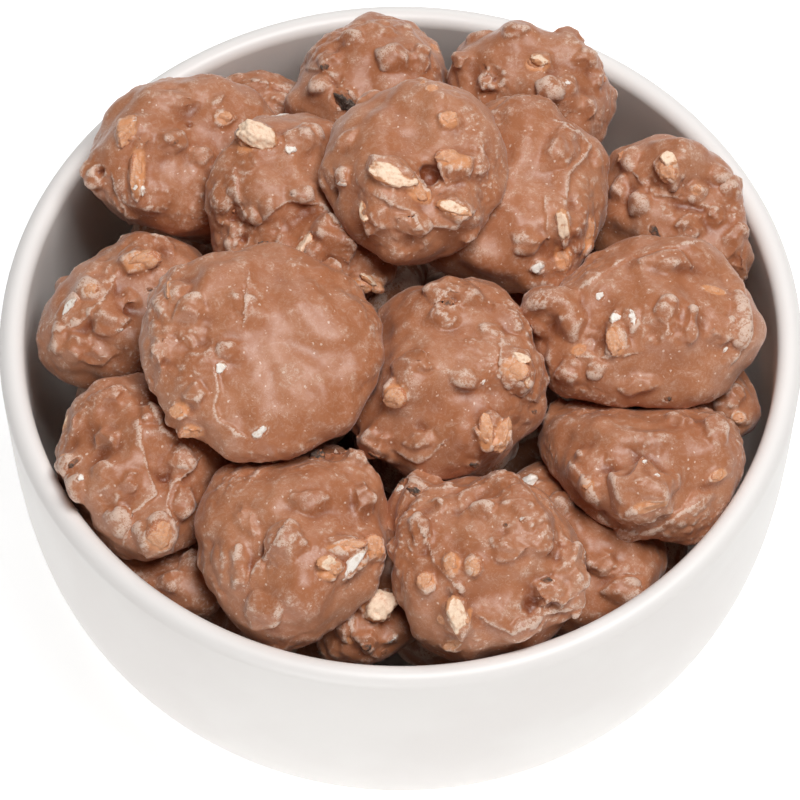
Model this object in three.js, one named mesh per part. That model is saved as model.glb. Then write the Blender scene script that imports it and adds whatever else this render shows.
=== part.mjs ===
// A bowl of rocky road clusters: lumpy drops of milk chocolate, nuts and
// biscuit, heaped in a plain round white bowl.
//
// Millimetres, +Z up. The origin is the middle of the bowl's flat foot, and
// -Y is the side that faces whoever eats from it. Every cluster is one solid,
// and clusters that lie against each other, or against the bowl, keep a gap
// of CONTACT_GAP.

import * as THREE from "three";
import { mergeVertices } from "three/addons/utils/BufferGeometryUtils.js";

// ---- driving dimensions ----------------------------------------------------

const RIM_RADIUS = 82; // outside of the bowl at its widest
const BOWL_HEIGHT = 84;
const FOOT_RADIUS = 33; // flat underside
const LIP_RADIUS = 2.6; // half the thickness of the rounded lip
const FLOOR_THICKNESS = 6;
const WALL_STEEPNESS = 4.5; // how long the wall stays upright
const WALL_ROUNDNESS = 1.95; // how fully it then turns into the foot
const BOWL_SEGMENTS = 48;
const WALL_STEPS = 6;
const WALL_CROWDING = 0.5; // below 1, the steps crowd towards the floor
const LIP_STEPS = 4;

const CONTACT_GAP = 0.4; // between pieces that touch
const WALL_CLEARANCE = 0.6; // between a cluster and the bowl
const CONTACT_BLEND = 0.5; // rounding of the edge of a contact face
const FLATNESS = 3.2; // contacts turn level, because clusters lie flat

const SAME_POINT = 1e-5; // corners of the unit ball closer than this are one
const NEVER_MEETS = 1e-6; // a ray flatter than this to a contact face misses it
const HALVINGS = 24; // of the reach, to find where a ray meets the bowl

// ---- colours ---------------------------------------------------------------

const glaze = new THREE.MeshStandardMaterial({
  color: 0xf3f0ed, roughness: 0.28, metalness: 0,
});
const milkChocolate = new THREE.MeshStandardMaterial({
  color: 0x95694f, roughness: 0.45, metalness: 0,
});

// ---- helpers ---------------------------------------------------------------

const UP = new THREE.Vector3(0, 0, 1);
const radians = THREE.MathUtils.degToRad;

// A repeatable run of numbers between 0 and 1.
function seededRandom(seed) {
  let state = seed >>> 0;
  return () => {
    state = (state + 0x6d2b79f5) >>> 0;
    let mixed = Math.imul(state ^ (state >>> 15), 1 | state);
    mixed = (mixed + Math.imul(mixed ^ (mixed >>> 7), 61 | mixed)) ^ mixed;
    return ((mixed ^ (mixed >>> 14)) >>> 0) / 4294967296;
  };
}

// A unit vector from a compass angle and a height above the level, degrees.
function heading(azimuth, elevation) {
  const level = Math.cos(radians(elevation));
  return new THREE.Vector3(
    level * Math.cos(radians(azimuth)),
    level * Math.sin(radians(azimuth)),
    Math.sin(radians(elevation)),
  );
}

// ---- bowl ------------------------------------------------------------------

// Radius of a wall that leaves the lip upright and rounds into its floor.
// depth runs from 0 at the lip's centre line to full at the floor.
function wallRadius(depth, full, lipRadius, floorRadius) {
  const fall = THREE.MathUtils.clamp(depth / full, 0, 1);
  const bulge = (1 - fall ** WALL_STEEPNESS) ** (1 / WALL_ROUNDNESS);
  return floorRadius + (lipRadius - floorRadius) * bulge;
}

const LIP_LEVEL = BOWL_HEIGHT - LIP_RADIUS;
const INNER_RIM = RIM_RADIUS - 2 * LIP_RADIUS;
const INNER_FLOOR = FOOT_RADIUS - FLOOR_THICKNESS;

// Points of a wall from below the lip to the floor, as radius and height.
// The wall turns fastest near the floor, so its steps are shortest there.
function wallProfile(floorLevel, lipRadius, floorRadius) {
  const depth = LIP_LEVEL - floorLevel;
  return Array.from({ length: WALL_STEPS + 1 }, (_, i) => {
    const fall = (i / WALL_STEPS) ** WALL_CROWDING;
    const radius = wallRadius(fall * depth, depth, lipRadius, floorRadius);
    return new THREE.Vector2(radius, LIP_LEVEL - fall * depth);
  });
}

const OUTSIDE = wallProfile(0, RIM_RADIUS, FOOT_RADIUS);
const INSIDE = wallProfile(FLOOR_THICKNESS, INNER_RIM, INNER_FLOOR);

// Radius of the hollow at a height, on the flats between the wall's edges.
function innerRadius(z) {
  const flat = Math.cos(Math.PI / BOWL_SEGMENTS);
  const below = INSIDE.findIndex((point) => point.y <= z);
  if (below <= 0) return below < 0 ? 0 : INNER_RIM * flat;
  const [upper, lower] = [INSIDE[below - 1], INSIDE[below]];
  const share = (z - lower.y) / (upper.y - lower.y);
  return THREE.MathUtils.lerp(lower.x, upper.x, share) * flat;
}

function bowlMesh() {
  const lip = Array.from({ length: LIP_STEPS + 1 }, (_, i) => {
    const angle = (Math.PI * i) / LIP_STEPS;
    return new THREE.Vector2(
      RIM_RADIUS - LIP_RADIUS + LIP_RADIUS * Math.cos(angle),
      LIP_LEVEL + LIP_RADIUS * Math.sin(angle),
    );
  });
  const profile = [
    new THREE.Vector2(0, 0),
    ...OUTSIDE.slice(1).reverse(),
    ...lip,
    ...INSIDE.slice(1),
    new THREE.Vector2(0, FLOOR_THICKNESS),
  ];
  const geometry = new THREE.LatheGeometry(profile, BOWL_SEGMENTS);
  geometry.rotateX(Math.PI / 2);
  const mesh = new THREE.Mesh(geometry, glaze);
  mesh.name = "bowl";
  return mesh;
}

// ---- clusters --------------------------------------------------------------

const SHOWN_DETAIL = 4; // faces of a cluster grow with the square of this
const SMALL_DETAIL = 3;
const SHOWN_CRAGS = 18; // random lumps, besides the knobs
const HIDDEN_CRAGS = 7;
const ALL_ROUND = [0, 360];
const CRAG_ELEVATION = [-15, 75]; // few lumps under a cluster, where it lay flat
const CRAG_HEIGHT = [1.2, 2.8];
const CRAG_WIDTH = [3.6, 5.2];
const SHOWN_SEED = 100; // seeds choose the crags, and each cluster has its own
const HIDDEN_SEED = 300;
const KNOB_FULLNESS = 2.6; // 2 is a soft hill, and more is a fuller lump
const DOME_POWER = 2.7;
const BASE_POWER = 3.6;
const TOP_CROWDING = 0.4; // gives the top, which shows, finer faces than the base

// The heap as it shows from the front and above, top pieces first. Each row:
//   at    middle of the cluster: x, y, and height above the bowl's rim
//   size  half width, half depth, height of the top, depth of the base
//   turn  of its long side, degrees
//   tilt  how far its top leans, and towards which compass angle, degrees
//   knobs nuts and folds under the chocolate: compass angle, elevation,
//         height and width, in the cluster's own frame before it is turned
//   crags how many random lumps it has, where it isn't SHOWN_CRAGS
//   detail how fine its faces are, where it isn't SHOWN_DETAIL
const SHOWN = [
  {
    name: "summit", at: [2, 23, 20], size: [19, 17.7, 12, 9], tilt: [12, -90],
    knobs: [
      [-125, 65, 2, 3.5], [-5, 55, 3, 4.5], [-45, 60, -3, 3], [-50, 35, 2.5, 4],
      [-130, 30, 1.5, 3], [-85, 40, 2, 4], [45, 45, 1.5, 5], [-130, 5, 1.5, 5], [30, 0, 2, 7],
      [-70, 0, 1.5, 5],
    ],
  },
  {
    name: "left_big", at: [-27, -16, 14], size: [24.2, 22.3, 12, 9], tilt: [14, -60], crags: 8,
    knobs: [
      [160, 15, 2.5, 6], [-175, 10, 2, 5], [-145, 40, -1.5, 3.5], [-140, 12, 2, 4],
      [-15, 40, 1.5, 10], [120, 30, 2, 5], [-90, 5, 2.5, 9], [0, 10, 2, 10], [140, 0, 3.5, 5],
    ],
  },
  {
    name: "right_of_summit", at: [22.5, 25.5, 8], size: [19.5, 21, 12, 9], tilt: [25, -60],
    crags: 12,
    knobs: [
      [-40, 50, 2, 3], [-30, 20, 2, 3], [-80, 30, 2.5, 6], [30, 0, 3, 7], [-145, 5, 3, 6],
      [-57, 20, 4, 5], [80, 20, 1.5, 6], [10, 40, 1.5, 5],
    ],
  },
  {
    name: "left_of_summit", at: [-19, 21.5, 8], size: [20, 21, 12, 9], tilt: [22, -110],
    knobs: [
      [120, 25, 3, 4.5], [95, 45, 1, 3], [-80, 50, 2, 4], [-115, 40, 1.5, 3], [-45, 8, 3.5, 6],
      [170, 20, 2, 5], [-68, 30, 2.5, 5], [-160, 20, 2, 5],
    ],
  },
  {
    name: "centre", at: [8.5, -17.5, 6], size: [20.5, 20, 12, 9], tilt: [15, -90],
    knobs: [
      [5, 35, 2.5, 4.5], [-160, 40, 1.5, 4], [-60, 40, 2.5, 4.5], [90, 25, 2.5, 4],
      [-150, 8, 2, 6], [55, 15, 2, 5], [-95, 10, 1.5, 6],
    ],
  },
  {
    name: "right", at: [49, -4.5, 4], size: [23.5, 18, 12, 9], tilt: [14, -90],
    knobs: [
      [-160, 60, 2, 4], [175, 20, 3, 5], [45, 80, 1.5, 5], [-25, 55, 2, 4], [-5, 15, 2, 6],
      [-70, 10, 2, 7], [60, 20, 1.5, 5],
    ],
  },
  {
    name: "back_left", at: [-44, 37.5, 4], size: [20.5, 16.5, 12, 10], tilt: [22, -45],
    knobs: [
      [180, 35, 2.5, 4], [-140, 30, 3, 4.5], [-160, -8, 3, 4.5], [150, -15, 5, 6],
      [20, 15, 3, 5], [-120, 5, 2.5, 5],
    ],
  },
  {
    name: "back_mid", at: [-6, 55, 2], size: [16, 16, 11, 9], tilt: [35, -90],
    knobs: [
      [98, -30, 5, 5.5], [62, -28, 4, 5.5], [153, -15, 1.5, 5], [175, 50, 2.5, 4.5],
      [30, -15, 2, 6], [-170, 15, 2, 4],
    ],
  },
  {
    name: "back_right", at: [26.2, 51.5, 3], size: [17.5, 16, 11, 9], tilt: [35, -95],
    knobs: [
      [113, -28, 5, 5], [77, 48, 1.5, 3], [145, 45, -2, 3], [30, 15, 2.5, 4.5], [-8, 35, 2, 4],
      [143, -15, 3, 6], [53, 20, 2, 4], [135, 30, 2.5, 5],
    ],
  },
  {
    name: "back_small", at: [-26.5, 54, -10], size: [14, 10, 9, 8], tilt: [20, -90],
    detail: SMALL_DETAIL,
    knobs: [
      [150, 30, 2, 5], [60, 20, 2.5, 4], [-30, 20, 2.5, 5],
    ],
  },
  {
    name: "right_back", at: [56, 29, -3], size: [15.5, 14, 11, 9], tilt: [20, -130],
    knobs: [
      [70, 65, 2, 3.5], [-15, 12, 2.5, 4], [33, -15, 3, 4], [-47, 2, 7, 6], [125, 30, 2, 5],
      [-93, 55, -1, 3], [175, 48, 2, 5],
    ],
  },
  {
    name: "far_left", at: [-54.5, 3, -3], size: [19.5, 15, 11, 9], turn: 32, tilt: [18, -30],
    knobs: [
      [70, 58, 2.5, 4], [150, 45, 1.5, 3.5], [-174, -5, 2, 6], [30, 0, 1.5, 7],
      [125, 42, 2, 4.5],
    ],
  },
  {
    name: "left_low", at: [-51, -31.5, -4], size: [18, 20, 12, 9], tilt: [15, -60],
    knobs: [
      [-160, 25, 2.5, 4], [-80, 25, 2.5, 4], [137, 65, 1.5, 5], [135, 35, 1, 6],
      [0, 35, 1.5, 5], [60, 55, 1.5, 4], [-40, 60, 1.5, 4],
    ],
  },
  {
    name: "front_left", at: [-21, -50, 0], size: [19, 21, 12, 9], tilt: [15, -90], crags: 12,
    knobs: [
      [-42, 45, 2, 4], [-10, 20, 2.5, 4], [-90, 8, 2.5, 5.5], [65, 5, 5, 6.5], [150, 25, 1, 6],
      [-60, 12, -1.5, 4],
    ],
  },
  {
    name: "front_right", at: [17, -56.5, 0], size: [19, 18, 12, 9], tilt: [12, -90],
    knobs: [
      [-115, 32, 1.5, 3.5], [-150, 65, 2, 4.5], [-155, 35, 1.5, 3.5], [-25, 15, 2, 5],
      [130, -5, 4, 6], [30, 35, 1.5, 5], [85, 30, 1.5, 5],
    ],
  },
  {
    name: "right_low", at: [48.5, -29.5, -5], size: [20, 16.5, 12, 9], tilt: [15, -110],
    knobs: [
      [-105, 50, 4.5, 6], [-8, 28, 2.5, 6], [148, 17, 2, 5], [-80, 17, 1.5, 6],
      [60, 40, 1.5, 5],
    ],
  },
  {
    name: "right_edge", at: [61, -11, -14], size: [10, 10, 9, 8], tilt: [10, 180],
    detail: SMALL_DETAIL,
    knobs: [
      [45, 30, 1.5, 4],
    ],
  },
  {
    name: "front_mid", at: [-6, -56, -14], size: [11, 13, 10, 8], tilt: [10, -90],
    detail: SMALL_DETAIL,
    knobs: [
      [-75, 68, 2.5, 4], [-86, 20, 2.5, 4],
    ],
  },
  {
    name: "front_deep", at: [35, -44, -14], size: [18.5, 18, 10, 9], tilt: [12, -120],
    detail: SMALL_DETAIL,
    knobs: [
      [125, -5, 4, 5], [0, 30, 1.5, 6],
    ],
  },
  {
    name: "left_deep", at: [-46, -46, -17], size: [12, 11, 9, 8], tilt: [15, -60],
    detail: SMALL_DETAIL,
    knobs: [
      [90, 40, 1.5, 4], [-60, 30, 1.5, 4],
    ],
  },
];

// Layers below, which carry the heap and show only through its gaps. Each is a
// ring of clusters round the bowl's axis:
//   ring  radius of the ring
//   level height of the clusters' middles above the bowl's rim
//   start compass angle of the first, degrees
const LAYERS = [
  { name: "middle", count: 4, ring: 20, level: -15, size: [18, 16, 10, 9], start: 20, detail: 1 },
  { name: "second", count: 8, ring: 54, level: -26, size: [18, 15, 11, 9], start: 10, detail: 2 },
  { name: "inner", count: 4, ring: 21, level: -36, size: [17, 16, 10, 9], start: 65, detail: 1 },
  { name: "third", count: 7, ring: 48, level: -48, size: [17, 15, 10, 9], start: 35, detail: 1 },
  { name: "core", count: 2, ring: 11, level: -56, size: [16, 15, 10, 9], start: 80, detail: 1 },
  { name: "bottom", count: 5, ring: 29, level: -68, size: [17, 15, 9, 8], start: 0, detail: 1 },
];
const LAYER_SEED = 7;
const LAYER_WOBBLE = [-3, 3]; // how far a cluster lies off its place in the ring
const LAYER_SPREAD = [0.92, 1.08]; // of the sizes
const LAYER_TURN = [0, 180];
const LAYER_LEAN = [0, 25];

// A picker of random numbers between two limits.
function pickerFrom(seed) {
  const random = seededRandom(seed);
  return ([low, high]) => low + (high - low) * random();
}

// Random lumps, as rows like the knobs of SHOWN.
function cragsOf(count, seed) {
  const pick = pickerFrom(seed);
  return Array.from({ length: count }, () => (
    [ALL_ROUND, CRAG_ELEVATION, CRAG_HEIGHT, CRAG_WIDTH].map(pick)
  ));
}

function makeCluster(row, seed, detail, crags) {
  const [lean, leansTo] = row.tilt;
  const hinge = heading(leansTo + 90, 0);
  const rotation = new THREE.Quaternion()
    .setFromAxisAngle(hinge, radians(lean))
    .multiply(new THREE.Quaternion().setFromAxisAngle(UP, radians(row.turn ?? 0)));
  const knobs = [...(row.knobs ?? []), ...cragsOf(crags, seed)];
  return {
    name: row.name,
    detail,
    centre: new THREE.Vector3(row.at[0], row.at[1], BOWL_HEIGHT + row.at[2]),
    size: row.size,
    up: UP.clone().applyQuaternion(rotation),
    toLocal: rotation.clone().invert(),
    knobs: knobs.map(([azimuth, elevation, height, width]) => ({
      towards: heading(azimuth, elevation), height, width,
    })),
  };
}

// How far the cluster reaches from its middle before its neighbours stop it:
// a thick disc, domed above and flat below, with its knobs.
function freeReach(cluster, direction) {
  const [halfWidth, halfDepth, top, base] = cluster.size;
  const local = direction.clone().applyQuaternion(cluster.toLocal);
  const level = Math.hypot(local.x / halfWidth, local.y / halfDepth);
  const domed = local.z > 0;
  const power = domed ? DOME_POWER : BASE_POWER;
  const rise = Math.abs(local.z) / (domed ? top : base);
  const body = (level ** power + rise ** power) ** (-1 / power);
  return cluster.knobs.reduce((reach, knob) => {
    const away = (body * local.angleTo(knob.towards)) / knob.width;
    return reach + knob.height * Math.exp(-(away ** KNOB_FULLNESS));
  }, body);
}

// The flat face where two clusters meet. Its normal leans towards the
// vertical, as it does between two discs that lie one over the other.
function contactPlane(cluster, other) {
  const between = other.centre.clone().sub(cluster.centre);
  const towards = between.clone().normalize();
  const own = freeReach(cluster, towards);
  const theirs = freeReach(other, towards.clone().negate());
  const normal = between.clone();
  normal.z *= FLATNESS;
  normal.normalize();
  const share = own / (own + theirs);
  return { normal, distance: share * between.dot(normal) - CONTACT_GAP / 2 };
}

// How far a ray from a cluster's middle runs before it meets the bowl.
function bowlReach(centre, direction, limit) {
  const isInside = (reach) => {
    const point = centre.clone().addScaledVector(direction, reach);
    const wall = innerRadius(point.z) - WALL_CLEARANCE;
    return point.z > FLOOR_THICKNESS + WALL_CLEARANCE && Math.hypot(point.x, point.y) < wall;
  };
  let near = 0;
  let far = limit;
  if (isInside(far)) return far;
  for (let halving = 0; halving < HALVINGS; halving += 1) {
    const middle = (near + far) / 2;
    if (isInside(middle)) near = middle;
    else far = middle;
  }
  return near;
}

// The least of some numbers, rounded off where two of them are nearly equal.
function softMinimum(values, blend) {
  const least = Math.min(...values);
  const sum = values.reduce((total, value) => total + Math.exp((least - value) / blend), 0);
  return least - blend * Math.log(sum);
}

// A ball of even faces, each corner of which is moved out until the cluster's
// form, a neighbour or the bowl stops it.
function clusterMesh(cluster, clusters) {
  const planes = clusters
    .filter((other) => other !== cluster)
    .map((other) => contactPlane(cluster, other));
  const ball = new THREE.IcosahedronGeometry(1, cluster.detail);
  ball.deleteAttribute("normal");
  ball.deleteAttribute("uv");
  const geometry = mergeVertices(ball, SAME_POINT);
  const position = geometry.getAttribute("position");
  for (let i = 0; i < position.count; i += 1) {
    const direction = new THREE.Vector3()
      .fromBufferAttribute(position, i)
      .normalize()
      .addScaledVector(cluster.up, TOP_CROWDING)
      .normalize();
    const free = freeReach(cluster, direction);
    const limits = planes
      .map(({ normal, distance }) => [normal.dot(direction), distance])
      .filter(([slope]) => slope > NEVER_MEETS)
      .map(([slope, distance]) => distance / slope);
    limits.push(bowlReach(cluster.centre, direction, 2 * free));
    const reach = softMinimum([free, ...limits], CONTACT_BLEND);
    const point = cluster.centre.clone().addScaledVector(direction, reach);
    position.setXYZ(i, point.x, point.y, point.z);
  }
  geometry.computeVertexNormals();
  const mesh = new THREE.Mesh(geometry, milkChocolate);
  mesh.name = cluster.name;
  return mesh;
}

function layerRows() {
  const pick = pickerFrom(LAYER_SEED);
  const aside = () => pick(LAYER_WOBBLE);
  return LAYERS.flatMap(({ name, count, ring, level, size, start, detail }) => (
    Array.from({ length: count }, (_, i) => {
      const place = heading(start + (360 * i) / count, 0).multiplyScalar(ring);
      return {
        name: `${name}_${i + 1}`,
        at: [place.x + aside(), place.y + aside(), level + aside()],
        size: size.map((length) => length * pick(LAYER_SPREAD)),
        turn: pick(LAYER_TURN),
        tilt: [pick(LAYER_LEAN), pick(ALL_ROUND)],
        detail,
      };
    })
  ));
}

// ---- the object --------------------------------------------------------------

const shown = SHOWN.map((row, i) => (
  makeCluster(row, SHOWN_SEED + i, row.detail ?? SHOWN_DETAIL, row.crags ?? SHOWN_CRAGS)
));
const hidden = layerRows().map((row, i) => (
  makeCluster(row, HIDDEN_SEED + i, row.detail, HIDDEN_CRAGS)
));
const heap = [...shown, ...hidden];

const bowlOfClusters = new THREE.Group();
bowlOfClusters.add(bowlMesh());
heap.forEach((cluster) => bowlOfClusters.add(clusterMesh(cluster, heap)));

export default bowlOfClusters;
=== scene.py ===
# %% [markdown]
# # A bowl of rocky road clusters
#
# A plain white bowl, heaped with drops of milk chocolate. Each drop was poured over
# roasted almond pieces and dark biscuit crumbs, and set with its lumps, folds and scuffs
# on show. The solids of the frame give every drop its place, its size and its main form.
# This script gives them what a mould can't: the run of the chocolate over the nuts, the
# broken nuts that stick out of it, and the finish of each surface.

import math
import random

import bpy
import numpy as np
from mathutils import Matrix, Vector, noise
from mathutils.bvhtree import BVHTree


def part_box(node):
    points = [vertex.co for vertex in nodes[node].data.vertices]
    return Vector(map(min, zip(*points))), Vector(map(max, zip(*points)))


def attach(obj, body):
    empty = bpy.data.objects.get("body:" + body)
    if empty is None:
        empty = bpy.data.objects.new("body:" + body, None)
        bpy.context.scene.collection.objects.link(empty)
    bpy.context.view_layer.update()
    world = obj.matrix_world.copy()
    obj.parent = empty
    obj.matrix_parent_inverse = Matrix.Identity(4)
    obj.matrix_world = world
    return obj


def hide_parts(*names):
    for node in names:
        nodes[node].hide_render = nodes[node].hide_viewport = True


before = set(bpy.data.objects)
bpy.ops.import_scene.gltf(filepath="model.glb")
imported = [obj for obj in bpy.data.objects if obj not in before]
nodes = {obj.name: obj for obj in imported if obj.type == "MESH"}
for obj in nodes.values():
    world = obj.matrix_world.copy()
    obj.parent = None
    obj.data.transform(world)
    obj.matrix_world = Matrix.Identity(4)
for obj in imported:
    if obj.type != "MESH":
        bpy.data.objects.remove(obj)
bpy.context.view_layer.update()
bpy.ops.object.select_all(action="DESELECT")

MM = 0.001
BODY = "root"
heap = sorted(name for name in nodes if name != "bowl")

# %% [markdown]
# ## The camera
#
# The picture was taken from well above, with a long lens. Three things fix such a camera:
# how far it is from the middle of the rim, how high it stands, and how many pixels wide
# a metre is at one metre. The rim's middle lies above the middle of the picture, so the
# lens points a little lower than the rim. With the camera fixed, any pixel of the picture
# is a ray, and where that ray meets the chocolate is where a nut belongs.

# %% Camera
PHOTO_SIZE = 800  # pixels, both ways
FOCAL_LENGTH = 3620  # pixels
CAMERA_DISTANCE = 738 * MM  # from the middle of the rim
CAMERA_HEIGHT = math.radians(57.9)  # above the horizon
RIM_PIXEL = (400.8, 324.0)  # where the rim's middle shows
SENSOR = 36  # mm

_, bowl_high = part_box("bowl")
rim_centre = Vector((0, 0, bowl_high.z))

lens = bpy.data.cameras.new("camera")
lens.sensor_width = SENSOR
lens.lens = SENSOR * FOCAL_LENGTH / PHOTO_SIZE
lens.clip_start, lens.clip_end = 0.05, 20
camera = bpy.data.objects.new("camera", lens)
bpy.context.collection.objects.link(camera)
bpy.context.scene.camera = camera

aside = (PHOTO_SIZE / 2 - RIM_PIXEL[0]) * CAMERA_DISTANCE / FOCAL_LENGTH
dip = math.atan((PHOTO_SIZE / 2 - RIM_PIXEL[1]) / FOCAL_LENGTH)
toward_camera = Vector((0, -math.cos(CAMERA_HEIGHT), math.sin(CAMERA_HEIGHT)))
camera.location = rim_centre + CAMERA_DISTANCE * toward_camera + Vector((aside, 0, 0))
camera.rotation_euler = (math.pi / 2 - CAMERA_HEIGHT - dip, 0, 0)
bpy.context.view_layer.update()


def photo_ray(x, y):
    """The way from the lens through a pixel of the picture."""
    half = PHOTO_SIZE / 2
    looking = Vector(((x - half) / FOCAL_LENGTH, (half - y) / FOCAL_LENGTH, -1))
    return (camera.matrix_world.to_3x3() @ looking).normalized()


print("camera at", [round(c, 4) for c in camera.location], "lens", round(lens.lens, 1), "mm")

# %% [markdown]
# ## Working out a finish
#
# A finish is a sum of patterns. Written with nodes alone, a sum of three patterns takes a
# screenful of links, so two small helpers stand in. A Wire is one output of a node, and
# plain arithmetic on wires adds the Math nodes. A Finish is one material: it adds any
# other node by its type, its settings and the values of its sockets.


# %% Wires and finishes
class Wire:
    """A node's output. Sums on it add Math nodes."""

    def __init__(self, finish, socket):
        self.finish, self.socket = finish, socket

    def work_out(self, operation, *values):
        inputs = dict(enumerate(values))
        return self.finish.node("ShaderNodeMath", {"operation": operation}, inputs)

    def __add__(self, other):
        return self.work_out("ADD", self, other)

    def __sub__(self, other):
        return self.work_out("SUBTRACT", self, other)

    def __rsub__(self, other):
        return self.work_out("SUBTRACT", other, self)

    def __mul__(self, other):
        return self.work_out("MULTIPLY", self, other)

    __radd__, __rmul__ = __add__, __mul__


class Finish:
    """A material with one Principled shader. Its patterns stay put on the piece."""

    def __init__(self, name, **constants):
        self.material = bpy.data.materials.new(name)
        self.material.use_nodes = True
        self.tree = self.material.node_tree
        self.shader = self.tree.nodes["Principled BSDF"]
        self.set(**constants)
        self.places = self.node("ShaderNodeTexCoord", output="Object")

    def set(self, **values):
        """Sets or links sockets of the shader, named as in base_color."""
        for key, value in values.items():
            socket = key.replace("_", " ").title().replace("Ior", "IOR")
            self.plug(self.shader.inputs[socket], value)

    def plug(self, socket, value):
        if isinstance(value, Wire):
            self.tree.links.new(value.socket, socket)
        elif value is not None:
            socket.default_value = value

    def node(self, kind, settings=None, inputs=None, output=0):
        """Any node, by its type, its settings and the values or links of its sockets."""
        node = self.tree.nodes.new(kind)
        for key, value in (settings or {}).items():
            setattr(node, key, value)
        for key, value in (inputs or {}).items():
            self.plug(node.inputs[key], value)
        return Wire(self, node.outputs[output])

    def noise(self, size, detail=2.0, roughness=0.5, distortion=0.0, output=0):
        """Soft cloudy noise, 0 to 1, whose clouds are about size wide."""
        return self.node("ShaderNodeTexNoise", None, {
            "Vector": self.places, "Scale": 1 / size, "Detail": detail,
            "Roughness": roughness, "Distortion": distortion,
        }, output)

    def cells(self, size, at, output):
        """Points scattered about size apart: the distance to the nearest, or its own colour."""
        inputs = {"Vector": at, "Scale": 1 / size}
        return self.node("ShaderNodeTexVoronoi", None, inputs, output)

    def step(self, value, start, end):
        """0 below start, 1 above end, and smooth between them."""
        return self.node("ShaderNodeMapRange", {"interpolation_type": "SMOOTHSTEP"}, {
            "Value": value, "From Min": start, "From Max": end,
        })

    def blend(self, share, first, second):
        """Two colours mixed: the first where share is 0, the second where it is 1."""
        return self.node("ShaderNodeMix", {"data_type": "RGBA"}, {0: share, 6: first, 7: second}, 2)

    def attribute(self, name):
        """A number that the mesh keeps for each vertex."""
        return self.node("ShaderNodeAttribute", {"attribute_name": name}, output="Fac")

    def bump(self, height, depth, strength, normal=None):
        """A relief too fine for the mesh. Depth is how high it stands where height is 1."""
        return self.node("ShaderNodeBump", None, {
            "Height": height, "Distance": depth, "Strength": strength, "Normal": normal,
        })


def rgb(red, green, blue):
    """A colour as a screen shows it, 0 to 255, turned into light by the screen's own curve."""
    def light(value):
        share = value / 255
        return share / 12.92 if share < 0.04045 else ((share + 0.055) / 1.055) ** 2.4

    return (light(red), light(green), light(blue), 1)


# %% [markdown]
# ## Small tools for modelling
#
# Every piece is made in the same steps: add a primitive or take a copy, select it, work
# on it, and apply its modifiers so that the mesh itself has the shape. These helpers
# save writing the steps each time.


# %% Modelling helpers
def only(piece):
    """Selects one object and nothing else."""
    bpy.ops.object.select_all(action="DESELECT")
    piece.select_set(True)
    bpy.context.view_layer.objects.active = piece
    return piece


def added(name):
    """Names the primitive that was just added."""
    piece = bpy.context.active_object
    piece.name = piece.data.name = name
    return piece


def modify(piece, kind, **settings):
    """Adds a modifier and applies it at once."""
    only(piece)
    modifier = piece.modifiers.new(kind.lower(), kind)
    for key, value in settings.items():
        setattr(modifier, key, value)
    bpy.ops.object.modifier_apply(modifier=modifier.name)


def copy_of(piece, name, matrix=None):
    """A copy with its own mesh, moved by a matrix."""
    twin = bpy.data.objects.new(name, piece.data.copy())
    bpy.context.collection.objects.link(twin)
    if matrix is not None:
        twin.data.transform(matrix)
    return twin


def joined(pieces, name):
    """Several objects made one."""
    bpy.ops.object.select_all(action="DESELECT")
    for piece in pieces:
        piece.select_set(True)
    bpy.context.view_layer.objects.active = pieces[0]
    if len(pieces) > 1:
        bpy.ops.object.join()
    return added(name)


def settle(piece, material, replaced=None):
    """The last step of a piece: its finish, its body and the solid that it stands for."""
    piece.data.materials.clear()
    piece.data.materials.append(material)
    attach(piece, BODY)
    if replaced:
        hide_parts(replaced)


def points_of(mesh):
    """The mesh's points, one row each."""
    flat = np.empty(len(mesh.vertices) * 3)
    mesh.vertices.foreach_get("co", flat)
    return flat.reshape(-1, 3)


def normals_of(mesh):
    """The way out of the surface at each point, one row each."""
    flat = np.empty(len(mesh.vertices) * 3)
    mesh.vertex_normals.foreach_get("vector", flat)
    return flat.reshape(-1, 3)


def store(mesh, name, values):
    """Keeps one number for each vertex, for a finish to read."""
    attribute = mesh.attributes.new(name, "FLOAT", "POINT")
    attribute.data.foreach_set("value", np.asarray(values, np.float32))


def smooth_step(values, start, end):
    """0 below start, 1 above end, and smooth between them."""
    share = np.clip((values - start) / (end - start), 0, 1)
    return share * share * (3 - 2 * share)


def bell(distance, steepness=2):
    """1 at no distance, about a third at 1, and nothing soon after."""
    return np.exp(-distance ** steepness)


# %% [markdown]
# ## The bowl
#
# The bowl is glazed stoneware, turned on a wheel: upright at the lip, then rounding
# faster and faster into its foot. One formula gives the wall, inside and out, and the
# lip is half a circle between them. In Blender such a shape is a spin: a row of edges,
# turned once round the axis. The frame's own bowl has flat faces to keep it light, so
# this smooth one stands in for it, on the same profile.

# %% Bowl profile
LIP_RADIUS = 2.6 * MM
FOOT_RADIUS = 33 * MM
FLOOR_THICKNESS = 6 * MM
WALL_STEEPNESS = 4.5
WALL_ROUNDNESS = 1.95
FOOT_EDGE = 3.6 * MM  # the last ring of the flat foot
WALL_STEPS = 26
WALL_CROWDING = 0.6  # below 1, the steps crowd towards the floor
LIP_STEPS = 10
BOWL_TURNS = 192
SAME_POINT = 0.01 * MM  # points closer than this are one

rim_radius = bowl_high.x
lip_level = bowl_high.z - LIP_RADIUS


def wall(floor_level, lip_radius, floor_radius):
    """Radius and height from the lip down to the floor."""
    rows = []
    for i in range(WALL_STEPS + 1):
        fall = (i / WALL_STEPS) ** WALL_CROWDING
        bulge = (1 - fall ** WALL_STEEPNESS) ** (1 / WALL_ROUNDNESS)
        radius = floor_radius + (lip_radius - floor_radius) * bulge
        rows.append((radius, lip_level - fall * (lip_level - floor_level)))
    return rows


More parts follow.
